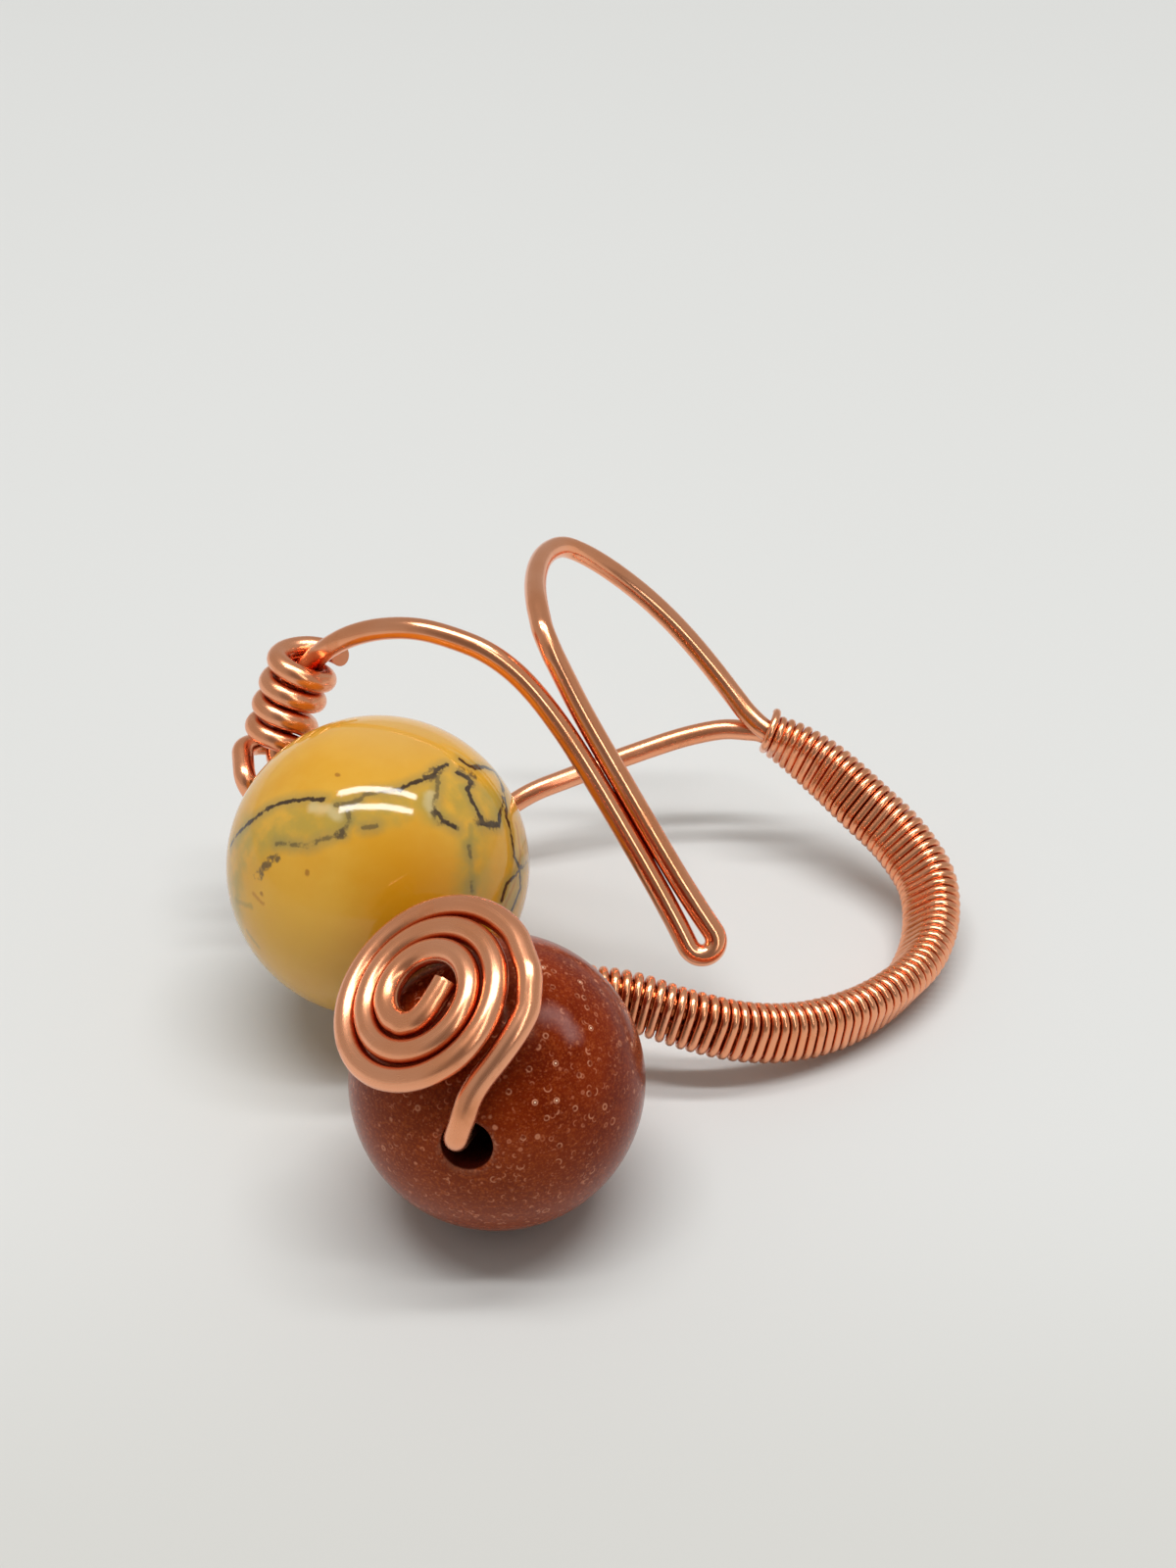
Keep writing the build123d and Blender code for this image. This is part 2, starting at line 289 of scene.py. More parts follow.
# Lights: two long strips overhead, as in a small light tent, the pale walls of the tent, and an upright strip at
# the front right for the wires alone
tent_opening = unit(0.1, -0.9, 0.42)
strip_length, strip_width, strip_power = 705, 62, 2.6
strip_colour = (1.0, 0.99, 0.97)
strip_places = {"strip_rear": (27, 84, 735), "strip_front": (27, -99, 735)}
wire_strip_way = unit(0.33, -0.62, 0.71)
wire_strip_distance = 700
wire_strip_length, wire_strip_width, wire_strip_power = 650, 60, 0.85
wire_strip_colour = (1.0, 0.97, 0.92)
bpy.context.scene.view_settings.view_transform = "Standard"


def strip_light(name, place, across, along, power, colour):
    """A rectangular lamp that faces down: its sizes are along its own x and y."""
    data = bpy.data.lights.new(name, "AREA")
    data.shape = "RECTANGLE"
    data.size, data.size_y = across * MM, along * MM
    data.energy = power
    data.color = colour
    lamp = bpy.data.objects.new(name, data)
    lamp.location = placed(place)
    bpy.context.collection.objects.link(lamp)
    return lamp


for name, from_bead in strip_places.items():
    strip_light(name, yellow_centre + Vector(from_bead), strip_length, strip_width, strip_power, strip_colour)


def light_wires(name, wires):
    """An upright strip that faces the ring and lights the wires alone."""
    place = brown_centre + wire_strip_way * wire_strip_distance
    lamp = strip_light(name, place, wire_strip_width, wire_strip_length, wire_strip_power, wire_strip_colour)
    lamp.rotation_mode = "QUATERNION"
    lamp.rotation_quaternion = (-wire_strip_way).to_track_quat("-Z", "Y")
    lit = bpy.data.collections.new(name)
    for wire in wires:
        lit.objects.link(wire)
    lamp.light_linking.receiver_collection = lit


def tent(top, side, front, strength):
    """Pale walls all round, darker at the open front where the camera looks in."""
    world = bpy.data.worlds.new("tent")
    bpy.context.scene.world = world
    world.use_nodes = True
    nodes, links = world.node_tree.nodes, world.node_tree.links
    nodes.clear()

    def eased(value, low, high):
        node = nodes.new("ShaderNodeMapRange")
        node.interpolation_type = "SMOOTHSTEP"
        node.inputs["From Min"].default_value = low
        node.inputs["From Max"].default_value = high
        links.new(value, node.inputs["Value"])
        return node.outputs[0]

    def blend(share, first, second):
        node = nodes.new("ShaderNodeMix")
        node.data_type = "RGBA"
        links.new(share, node.inputs[0])
        for socket, value in zip(node.inputs[6:8], (first, second)):
            if isinstance(value, tuple):
                socket.default_value = (*value, 1)
            else:
                links.new(value, socket)
        return node.outputs[2]

    place = nodes.new("ShaderNodeTexCoord")
    split = nodes.new("ShaderNodeSeparateXYZ")
    links.new(place.outputs["Generated"], split.inputs[0])
    opening = nodes.new("ShaderNodeVectorMath")
    opening.operation = "DOT_PRODUCT"
    links.new(place.outputs["Generated"], opening.inputs[0])
    opening.inputs[1].default_value = tent_opening
    walls = blend(eased(split.outputs["Z"], -0.1, 0.85), side, top)
    background = nodes.new("ShaderNodeBackground")
    background.inputs["Strength"].default_value = strength
    links.new(blend(eased(opening.outputs["Value"], 0.62, 0.97), walls, front), background.inputs["Color"])
    output = nodes.new("ShaderNodeOutputWorld")
    links.new(background.outputs[0], output.inputs[0])


tent(top=(0.51, 0.50, 0.465), side=(0.61, 0.595, 0.55), front=(0.24, 0.22, 0.20), strength=0.81)


# Shader maths as sums of sockets
class Reading:
    """One output of a shader node, which can stand in a sum."""

    def __init__(self, finish, socket):
        self.finish = finish
        self.socket = socket

    def sum(self, operation, first, second):
        return self.finish.node("ShaderNodeMath", {"operation": operation}, {0: first, 1: second})

    def __add__(self, other):
        return self.sum("ADD", self, other)

    def __radd__(self, other):
        return self.sum("ADD", other, self)

    def __sub__(self, other):
        return self.sum("SUBTRACT", self, other)

    def __rsub__(self, other):
        return self.sum("SUBTRACT", other, self)

    def __mul__(self, other):
        return self.sum("MULTIPLY", self, other)

    def __truediv__(self, other):
        return self.sum("DIVIDE", self, other)

    def or_less(self, other):
        return self.sum("MINIMUM", self, other)


class Finish:
    """A material being put together round one Principled shader."""

    def __init__(self, name, **sockets):
        self.material = bpy.data.materials.new(name)
        self.material.use_nodes = True
        self.tree = self.material.node_tree
        self.shader = self.tree.nodes["Principled BSDF"]
        for socket, value in sockets.items():
            self.set(socket.replace("_", " "), value)

    def set(self, socket, value):
        """Gives one of the shader's sockets a value or a link."""
        self.give(self.shader.inputs[socket], value)

    def give(self, target, value):
        if isinstance(value, Reading):
            self.tree.links.new(value.socket, target)
        elif hasattr(value, "__len__") and len(value) == 3 and target.type == "RGBA":
            target.default_value = (*value, 1)
        else:
            target.default_value = value

    def node(self, kind, settings=None, sockets=None, output=0):
        made = self.tree.nodes.new(kind)
        for name, value in (settings or {}).items():
            if name == "stops":
                ramp = made.color_ramp
                while len(ramp.elements) < len(value):
                    ramp.elements.new(1)
                for element, (place, colour) in zip(ramp.elements, value):
                    element.position = place
                    element.color = (*colour, 1)
            else:
                setattr(made, name, value)
        for name, value in (sockets or {}).items():
            self.give(made.inputs[name], value)
        return Reading(self, made.outputs[output])

    def place(self, centre=None):
        """Object coordinates in millimetres, from a centre where one is given."""
        here = self.node("ShaderNodeTexCoord", output=3)
        here = self.vector("SCALE", here, scale=1 / MM)
        if centre is not None:
            here = self.vector("SUBTRACT", here, centre)
        return here

    def vector(self, operation, first, second=None, scale=None):
        sockets = {0: first}
        if second is not None:
            sockets[1] = second
        if scale is not None:
            sockets["Scale"] = scale
        output = 1 if operation in ("LENGTH", "DOT_PRODUCT", "DISTANCE") else 0
        return self.node("ShaderNodeVectorMath", {"operation": operation}, sockets, output)

    def noise(self, here, scale, detail=3, roughness=0.5, output=0):
        return self.node(
            "ShaderNodeTexNoise",
            None,
            {"Vector": here, "Scale": scale, "Detail": detail, "Roughness": roughness},
            output,
        )

    def cells(self, here, scale, feature="F1", output=0):
        return self.node("ShaderNodeTexVoronoi", {"feature": feature}, {"Vector": here, "Scale": scale}, output)

    def eased(self, value, low, high, to_low=0.0, to_high=1.0):
        """From to_low to to_high while value goes from low to high, smoothly; low may be the larger."""
        if low > high:
            low, high, to_low, to_high = high, low, to_high, to_low
        return self.node(
            "ShaderNodeMapRange",
            {"interpolation_type": "SMOOTHSTEP"},
            {"Value": value, 1: low, 2: high, 3: to_low, 4: to_high},
        )

    def blend(self, share, first, second):
        return self.node("ShaderNodeMix", {"data_type": "RGBA"}, {0: share, 6: first, 7: second}, 2)

    def warped(self, here, amount, scale, detail=2):
        """Coordinates pushed about by noise."""
        push = self.noise(here, scale, detail, output=1)
        push = self.vector("SUBTRACT", push, (0.5, 0.5, 0.5))
        return self.vector("ADD", here, self.vector("SCALE", push, scale=amount))

    def near(self, here, places):
        """How far it is to the line through places."""
        nearest = None
        for low, high in zip(places, places[1:]):
            run = high - low
            reach = self.vector("DOT_PRODUCT", here, run)
            share = self.node(
                "ShaderNodeMath",
                {"operation": "MULTIPLY_ADD", "use_clamp": True},
                {0: reach, 1: 1 / run.length_squared, 2: -low.dot(run) / run.length_squared},
            )
            foot_point = self.node("ShaderNodeVectorMath", {"operation": "MULTIPLY_ADD"}, {0: run, 1: share, 2: low})
            gap = self.vector("DISTANCE", here, foot_point)
            nearest = gap if nearest is None else nearest.or_less(gap)
        return nearest

    def bump(self, height, strength, distance):
        sockets = {"Height": height, "Strength": strength, "Distance": distance * MM}
        self.set("Normal", self.node("ShaderNodeBump", None, sockets))


def from_screen(red, green, blue):
    """A colour picked on a screen, 0 to 255, as the shader's linear values."""
    linear = []
    for value in (red, green, blue):
        share = value / 255
        linear.append(share / 12.92 if share <= 0.04045 else ((share + 0.055) / 1.055) ** 2.4)
    return tuple(linear)


# Colours and marks. The marks on the beads are places in the photograph.
COPPER_LIGHT = (0.93, 0.42, 0.24)
COPPER_DEEP = (0.90, 0.375, 0.195)
COPPER_TARNISHED = (0.58, 0.20, 0.075)
# Painted shade: the copper's tone where other wire is close
COPPER_CREVICE_SHADE = (0.56, 0.12, 0.015)
TABLE_LIGHT = (0.66, 0.675, 0.685)
TABLE_DEEP = (0.635, 0.65, 0.655)
# Painted shade on the table's near side, to deepen the shadows beside the beads
TABLE_PAINTED_SHADE = (0.565, 0.57, 0.56)
painted_shade_from, painted_shade_to = -6, -34
# Painted highlight: a soft pale patch on the brown bead, to the right of the spiral
SOFT_HIGHLIGHT_PLACES = [(558, 1034), (572, 1040), (584, 1052)]
BRIGHT_BUBBLES = [(554, 987), (592, 1002), (603, 1049), (645, 1066), (567, 1085), (546, 1125), (568, 1123)]
BUBBLES = [
    (564, 1007), (589, 1016), (596, 1018), (599, 1028), (591, 1097), (540, 1091), (519, 1114), (601, 1116),
    (587, 1131), (558, 1141), (534, 1161), (571, 1169), (565, 991), (557, 1057), (602, 1085), (614, 1012),
]
DARK_VEINS = [
    [(235.5, 863), (253.2, 840.2), (280.1, 821.6), (313.3, 814.7), (329.8, 815.8)],
    [(408, 806), (427.3, 796.7), (439.7, 792.5), (448, 784.2), (456.3, 780.1)],
    [
        (469.7, 774.9), (479.1, 782.2), (493.6, 782.2), (506, 788.4),
        (512.2, 800.8), (510.2, 831.9), (509.1, 842.3), (491.5, 842.3),
    ],
    [(466.6, 788.4), (481.1, 796.7), (477, 807), (487.4, 827.8), (493.6, 839.2)],
    [(512.2, 800.8), (516.4, 831.9), (524.7, 873.4), (529.8, 885.8), (540.2, 873.4)],
    [(529.8, 888), (516.4, 902.4), (512.2, 919)],
    [(529.8, 888), (530.9, 906.5), (522.6, 927.3)],
]
SOFT_VEINS = [
    [(342.3, 821.6), (360.9, 819.5), (372, 811), (408, 806)],
    [(447, 792), (443.8, 823.6), (448, 836.1), (466.6, 844.4)],
    [(282.2, 860.9), (313.3, 863), (348.5, 850.6), (355.8, 838.1), (354.7, 827.8)],
    [(371.3, 844.4), (383.7, 842.3)],
    [(479, 864), (480, 874)],
    [(481, 900), (481, 909)],
]
THICK_VEINS = [
    [(430, 796), (441, 791), (449, 784), (456, 780)],
    [(472, 776), (483, 784), (498, 784)],
    [(468, 789), (480, 794), (477, 806), (484, 820)],
    [(492, 842), (500, 841), (509, 841), (510, 832)],
    [(486, 826), (493, 838)],
    [(446, 828), (452, 838), (464, 843)],
]
FAINT_LINES = [
    [(480, 842), (479, 873), (482, 911)],
    [(240, 918), (256, 925)],
    [(252, 950), (263.5, 966)],
]
BLOTCHES = [
    [(262.5, 894.1), (276, 877.5), (282.2, 875.4)],
    [(436, 794), (448, 785)],
    [(470, 786), (482, 790)],
    [(477, 788), (480, 800)],
    [(444, 830), (450, 838)],
    [(487, 838), (504, 843)],
    [(345.4, 851.6), (348.4, 850)],
]
OLIVE_PATCHES = [
    [(250, 868), (285, 845), (335, 835), (400, 822)],
    [(440, 820), (470, 812), (508, 822)],
    [(483, 845), (481, 912)],
    [(516, 925), (532, 870)],
    [(240, 905), (244, 950), (262, 985)],
    [(246, 850), (238, 900)],
]
PALE_MARKS = [[(438, 812), (441, 826)], [(318, 822), (345, 830)]]
RUST_LINES = [[(512, 930), (524, 905), (531, 872), (526, 840)], [(258, 912), (268, 922)]]
BROWN_SPOTS = [(345.4, 790.5), (313.3, 891), (266.6, 913.8)]
ORANGE_CENTRE = (420, 915)
PALE_TOP = (400, 745)
PALE_SIDE = (300, 960)
facing = (camera_from_bead).normalized()


# Finishes
def copper(name, along, roughness):
    """Drawn copper wire: fine lines along it, a little unevenness of colour, a dull spot here and there, and
    painted shade, a darker and redder tone, where other wire is close."""
    finish = Finish(name, Metallic=1.0)
    here = finish.place()
    cloud = finish.noise(here, 0.35, 2)
    tone = finish.blend(finish.eased(cloud, 0.35, 0.65), COPPER_LIGHT, COPPER_DEEP)
    tarnish = finish.eased(finish.noise(finish.warped(here, 1.2, 0.6), 0.7, 3, 0.6), 0.56, 0.74)
    tone = finish.blend(tarnish * 0.3, tone, COPPER_TARNISHED)
    lines = finish.node("ShaderNodeUVMap", {"uv_map": "along_wire"})
    drawn = finish.noise(finish.vector("MULTIPLY", lines, along), 1.0, 3, 0.6)
    tone = finish.blend(finish.eased(drawn, 0.52, 0.75) * 0.12, tone, COPPER_TARNISHED)
    # painted shade: darker, redder copper where other wire faces this point closely
    crevice_shade = finish.node("ShaderNodeAttribute", {"attribute_name": "closed_in"}, None, 2)
    tone = finish.blend(finish.eased(crevice_shade, 0.06, 0.6) * 0.8, tone, COPPER_CREVICE_SHADE)
    finish.set("Base Color", tone)
    finish.set("Roughness", roughness + finish.eased(drawn, 0.3, 0.7) * 0.04 + tarnish * 0.1)
    dents = finish.noise(finish.warped(here, 0.5, 1.0), 0.9, 2)
    finish.bump(drawn * 0.06 + dents * 0.8, 0.4, 0.02)
    return finish.material


def goldstone():
    """Brown glass full of fine copper flecks, with small round bubbles and a paler ground rim at the hole."""
    finish = Finish(
        "goldstone", Roughness=0.2, IOR=1.5, Specular_IOR_Level=0.14, Sheen_Weight=0.016, Sheen_Roughness=0.25
    )
    finish.set("Sheen Tint", from_screen(226, 166, 140))
    finish.set("Specular Tint", (1.0, 0.72, 0.5))
    here = finish.place(brown_centre + foot)
    cloud = finish.noise(finish.warped(here, 1.0, 0.5), 0.45, 4, 0.6)
    body = finish.blend(finish.eased(cloud, 0.32, 0.68), from_screen(104, 24, 2), from_screen(124, 37, 5))
    lower = finish.eased(finish.vector("DOT_PRODUCT", here, unit(-0.35, -0.45, -0.85)), -2.0, 4.8)
    # the paler lower side: partly painted reflection of the pale table beneath, partly denser flecks
    body = finish.blend(lower * (0.4 + cloud * 0.6), body, from_screen(144, 62, 30))
    # flecks: soft streaks, dust and small bright crescents, closer together low on the bead
    streaks = finish.noise(finish.vector("MULTIPLY", finish.warped(here, 0.8, 1.0), (0.9, 1.0, 1.9)), 3.8, 4, 0.7)
    body = finish.blend(finish.eased(streaks, 0.5, 0.66) * (0.28 + lower * 0.45), body, from_screen(174, 84, 40))
    grain = finish.noise(here, 8.5, 3, 0.75)
    body = finish.blend(finish.eased(grain, 0.49, 0.66) * (0.35 + lower * 0.35), body, from_screen(168, 78, 30))
    dust = finish.cells(here, 6.0)
    body = finish.blend(finish.eased(dust, 0.36, 0.12) * (0.2 + lower * 0.35), body, from_screen(196, 110, 74))

    def crescents(scale, size, width):
        """A bright arc on one side of each bubble in a scatter of them."""
        gap = finish.cells(here, scale) / scale
        centre = finish.cells(here, scale, output=2)
        way = finish.vector("SUBTRACT", finish.cells(here, scale, output=1), (0.5, 0.5, 0.5))
        lit = finish.eased(finish.vector("DOT_PRODUCT", finish.vector("SUBTRACT", here, centre), way), -0.02, 0.03)
        return finish.eased(gap, size - width, size) * finish.eased(gap, size + width, size) * lit

    small = crescents(2.3, 0.10, 0.045)
    large = crescents(1.15, 0.15, 0.05)
    body = finish.blend(small * (0.4 + lower * 0.35), body, from_screen(214, 134, 100))
    body = finish.blend(large * 0.6, body, from_screen(222, 148, 114))
    # painted highlight: a soft pale patch, stronger where the streaks are
    painted_highlight = finish.near(finish.warped(here, 0.5, 1.2), [on_bead(pixel, brown_centre, brown_radius) for pixel in SOFT_HIGHLIGHT_PLACES])
    body = finish.blend(finish.eased(painted_highlight, 0.75, 0.05) * (0.2 + streaks * 0.55), body, from_screen(172, 128, 124))
    # the bubbles that the photograph shows: dark in the middle, a pale ring and a bright point

    def closest(pixels):
        gap = None
        for pixel in pixels:
            here_to = finish.vector("DISTANCE", here, on_bead(pixel, brown_centre, brown_radius))
            gap = here_to if gap is None else gap.or_less(here_to)
        return gap

    bright = closest(BRIGHT_BUBBLES)
    bubble = closest(BUBBLES).or_less(bright)
    ring = finish.eased(bubble, 0.05, 0.09) * finish.eased(bubble, 0.15, 0.105)
    grain_here = finish.eased(finish.noise(here, 5.0, 2), 0.42, 0.62)
    body = finish.blend(finish.eased(bubble, 0.12, 0.08) * 0.35, body, from_screen(92, 30, 12))
    ring_strength = 0.12 + grain_here * 0.5 + finish.eased(bright, 0.2, 0.15) * 0.3
    body = finish.blend(ring * ring_strength, body, from_screen(220, 150, 118))
    body = finish.blend(finish.eased(bright, 0.055, 0.025), body, from_screen(252, 214, 186))
    # the drilled hole: painted shade inside it, and ground pale and chipped at its rim's lower left
    along = finish.vector("DOT_PRODUCT", here, brown_hole)
    aside = finish.vector("LENGTH", finish.vector("CROSS_PRODUCT", here, brown_hole))
    chip = finish.noise(here, 2.2, 3, 0.6)
    rim = finish.eased(aside + chip * 0.9, 1.85, 1.5)
    chipped = 0.25 + finish.eased(finish.vector("DOT_PRODUCT", here, unit(-0.8, 0, -0.6)), 2.2, 3.6) * 0.75
    body = finish.blend(rim * finish.eased(chip, 0.4, 0.58) * chipped, body, from_screen(190, 148, 124))
    # painted shade on the hole's wall
    body = finish.blend(finish.eased(aside, 1.06, 1.0), body, from_screen(70, 20, 10))
    finish.set("Base Color", body)
    finish.bump(ring * 0.4 + small * 0.3 + streaks * 0.3 + chip * rim * 1.5 + cloud * 0.5, 0.3, 0.02)
    return finish.material


def howlite():
    """Ochre stone, polished, with grey-brown veins in olive halos. Round the back the veins are scattered."""
    finish = Finish(
        "howlite", Roughness=0.07, IOR=1.5, Specular_IOR_Level=0.46, Subsurface_Weight=0.08, Subsurface_Scale=0.6 * MM
    )
    finish.set("Subsurface Radius", (1.0, 0.5, 0.2))
    here = finish.place(yellow_centre + foot)
    cloud = finish.noise(finish.warped(here, 1.5, 0.3), 0.28, 4, 0.55)
    body = finish.blend(finish.eased(cloud, 0.3, 0.7), from_screen(220, 168, 60), from_screen(213, 155, 38))

    def spot(pixel, low, high):
        gap = finish.vector("DISTANCE", finish.warped(here, 0.5, 1.2), on_bead(pixel, yellow_centre, yellow_radius))
        return finish.eased(gap, low, high)

    body = finish.blend(spot(ORANGE_CENTRE, 3.6, 0.4) * 0.8, body, from_screen(212, 144, 12))
    body = finish.blend(spot(PALE_TOP, 3.8, 0.6) * 0.6, body, from_screen(205, 159, 80))
    body = finish.blend(spot(PALE_SIDE, 4.6, 0.8) * 0.6, body, from_screen(240, 186, 66))
    wavy = finish.warped(finish.warped(here, 0.24, 1.6, 3), 0.14, 5.0, 3)
    loose = finish.warped(here, 0.9, 0.8, 3)

    def nearest(lines, through=wavy):
        gap = None
        for line in lines:
            to_line = finish.near(through, [on_bead(pixel, yellow_centre, yellow_radius) for pixel in line])
            gap = to_line if gap is None else gap.or_less(to_line)
        return gap

    behind = finish.eased(finish.vector("DOT_PRODUCT", here, facing), 0.6, -1.2)
    back_cells = finish.cells(finish.warped(here, 1.6, 0.5, 3), 0.22, "DISTANCE_TO_EDGE") / 0.22
    back_veins = back_cells + (1 - behind) * 3 + finish.eased(finish.noise(here, 0.25, 2), 0.5, 0.6) * 2
    patch = finish.eased(nearest(OLIVE_PATCHES, loose).or_less(back_veins * 1.4), 1.35, 0.25)
    patch = patch * finish.eased(finish.noise(here, 0.9, 4), 0.28, 0.62)
    body = finish.blend(patch * 0.75, body, from_screen(168, 148, 66))
    soft = nearest(SOFT_VEINS)
    dark = nearest(DARK_VEINS).or_less(back_veins)
    thick = nearest(THICK_VEINS)
    grain = finish.noise(here, 2.6, 4, 0.6)
    body = finish.blend(finish.eased(dark.or_less(soft), 0.6, 0.05) * 0.55, body, from_screen(146, 132, 78))
    body = finish.blend(finish.eased(nearest(PALE_MARKS, loose), 0.42, 0.06) * 0.42, body, from_screen(226, 212, 172))
    body = finish.blend(finish.eased(nearest(FAINT_LINES), 0.22, 0.03) * 0.5, body, from_screen(150, 136, 72))
    body = finish.blend(finish.eased(nearest(RUST_LINES), 0.16, 0.03) * 0.55, body, from_screen(176, 108, 24))

    def drawn_vein(gap, ragged, wide, low, high):
        """How much of a vein shows: ragged at its edges, and broken where the grain is below low."""
        return finish.eased(gap - grain * ragged, *wide) * finish.eased(grain, low, high)

    body = finish.blend(drawn_vein(soft, 0.16, (0.07, -0.03), 0.36, 0.56) * 0.8, body, from_screen(104, 88, 54))
    body = finish.blend(drawn_vein(dark, 0.19, (0.05, -0.03), 0.16, 0.4), body, from_screen(66, 48, 30))
    body = finish.blend(drawn_vein(thick, 0.24, (0.02, -0.06), 0.2, 0.45), body, from_screen(66, 50, 36))
    blotches = drawn_vein(nearest(BLOTCHES), 0.34, (0.12, -0.04), 0.38, 0.58)
    body = finish.blend(blotches * 0.85, body, from_screen(88, 72, 50))
    for pixel in BROWN_SPOTS:
        body = finish.blend(spot(pixel, 0.16, 0.06) * 0.7, body, from_screen(150, 92, 30))
    finish.set("Base Color", body)
    finish.bump(finish.noise(here, 0.9, 2) * 2.0 + finish.noise(here, 6.0, 2) * 0.5, 0.35, 0.006)
    return finish.material


def table_top():
    """A pale, dull table, a little darker on the side of the camera: painted shade, deepening the shadows beside the
    beads.
    """
    finish = Finish("table_top", Roughness=0.6)
    here = finish.place()
    cloud = finish.noise(here, 0.012, 3)
    # painted shade, growing towards the camera
    painted_shade = finish.eased(finish.vector("DOT_PRODUCT", here, (0, 1, 0)), painted_shade_from, painted_shade_to)
    finish.set("Base Color", finish.blend(painted_shade, finish.blend(cloud, TABLE_LIGHT, TABLE_DEEP), TABLE_PAINTED_SHADE))
    finish.bump(finish.noise(here, 0.6, 3), 0.1, 0.02)
    return finish.material


# Shapes
def keep(name, mesh, material, slot, *nodes):
    """Makes a piece of a finished mesh, in place of the part's own node."""
    piece = bpy.data.objects.new(name, mesh)
    bpy.context.collection.objects.link(piece)
    mesh.materials.clear()
    mesh.materials.append(material)
    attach(piece, "root")
    if nodes:
        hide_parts(*nodes)
    return piece


def smooth_mesh(name, shape):
    for face in shape.faces:
        face.smooth = len(face.verts) <= 4
    mesh = bpy.data.meshes.new(name)
    shape.to_mesh(mesh)
    shape.free()
    return mesh


def square_to(vector, axis):
    return (vector - axis * vector.dot(axis)).normalized()


def by_bore(shares):
    return ring_centre + Vector(shares) * ring_bore


def between_rows(rows, place):
    for low, high in zip(rows, rows[1:]):
        if place <= high[0]:
            break
    share = (place - low[0]) / (high[0] - low[0])
    return [a + (b - a) * share for a, b in zip(low[1:], high[1:])]


class Curve:
    """A smooth line through points, read by its share of the length."""

    def __init__(self, points, steps=24):
        self.line = [points[0]]
        slopes = []
        for place in range(len(points)):
            before = points[max(place - 1, 0)]
            after = points[min(place + 1, len(points) - 1)]
            here = points[place]
            run_in, run_out = (here - before).length, (after - here).length
            if run_in == 0 or run_out == 0:
                slopes.append((after - before) / (run_in + run_out))
            else:
                pace_in, pace_out = (here - before) / run_in, (after - here) / run_out
                slopes.append((pace_in * run_out + pace_out * run_in) / (run_in + run_out))
        for low, high, slope_low, slope_high in zip(points, points[1:], slopes, slopes[1:]):
            run = (high - low).length
            for step in range(1, steps + 1):
                t = step / steps
                self.line.append(
                    low * (2 * t**3 - 3 * t**2 + 1)
                    + slope_low * run * (t**3 - 2 * t**2 + t)
                    + high * (3 * t**2 - 2 * t**3)
                    + slope_high * run * (t**3 - t**2)
                )
        self.reached = [0.0]
        for low, high in zip(self.line, self.line[1:]):
            self.reached.append(self.reached[-1] + (high - low).length)
        self.length = self.reached[-1]

    def at(self, share):
        reach = min(max(share, 0), 1) * self.length
        low, high = 0, len(self.reached) - 1
        while high - low > 1:
            middle = (low + high) // 2
            low, high = (middle, high) if self.reached[middle] <= reach else (low, middle)
        part = (reach - self.reached[low]) / (self.reached[high] - self.reached[low])
        return self.line[low].lerp(self.line[high], part)

    def along(self, share, reach=0.004):
        return (self.at(min(share + reach, 1)) - self.at(max(share - reach, 0))).normalized()


band_line = Curve([by_bore(row[:3]) for row in BAND_ROWS])
row_gaps = [(by_bore(b[:3]) - by_bore(a[:3])).length for a, b in zip(BAND_ROWS, BAND_ROWS[1:])]
LEANS = [(sum(row_gaps[:place]) / sum(row_gaps),) + row[3:] for place, row in enumerate(BAND_ROWS)]


def band_section(share):
    along = band_line.along(share)
    lean = square_to(Vector(between_rows(LEANS, share)), along)
    return band_line.at(share), along, lean


def core_points(side, start, end):
    count = max(2, round(band_stations * abs(end - start)))
    points = []
    for step in range(count + 1):
        centre, _, lean = band_section(start + (end - start) * step / count)
        points.append(centre + lean * leg_offset * side)
    return points


def spiral_points():
    centre = brown_centre + spiral_seat * (brown_radius + wire_radius + spiral_lift) / (
        spiral_seat.dot(spiral_normal)
    )
    right = square_to(Vector((1, 0, 0)), spiral_normal)
    back = spiral_normal.cross(right)
    pitch = wire_diameter + 2 * wire_gap
    points = []
    coils = SPIRAL_TIP + [(step / spiral_steps, None) for step in range(round(spiral_steps * spiral_turns), -1, -1)]
    for turns, radius in coils:
        outwards = right * cos(2 * pi * turns) + back * sin(2 * pi * turns)
        leaving = max(0, 1 - turns / spiral_leaving)
        if radius is None:
            radius = spiral_radius - pitch * turns + spiral_flare * leaving
        rise = spiral_rise * turns - spiral_dip * leaving
        points.append(centre + outwards * radius + spiral_normal * rise)
    return points


def coil_points():
    left = square_to(Vector((-1, 0, 0)), coil_up)
    back = left.cross(coil_up)
    pitch = wire_diameter + wire_gap
    last = COIL_ROWS[-1][0]
    count = round(last * spiral_steps)
    points = []
    for step in range(count + 1):
        turns = last * step / count
        rise, radius, aside = between_rows(COIL_ROWS, turns)
        outwards = left * cos(2 * pi * turns) + back * sin(2 * pi * turns)
        base = yellow_bend + coil_up * (coil_base + rise * pitch)
        points.append(base + (outwards * radius - left * aside) * wire_diameter)
    return points


def hairpin_points():
    start = by_bore(HAIRPIN_START)
    down = (by_bore(HAIRPIN_END) - start).normalized()
    across = square_to(leg_across, down)
    end = start + down * hairpin_length
    reach = hairpin_tip / cos(pi / tip_steps / 2)
    points = [start + down * hairpin_length * share - across * aside for share, aside in LEGS]
    for step in range(tip_steps + 1):
        angle = pi * step / tip_steps
        points.append(end + down * sin(angle) * reach - across * cos(angle) * reach)
    points += [start + down * hairpin_length * share + across * aside for share, aside in reversed(LEGS)]
    return points


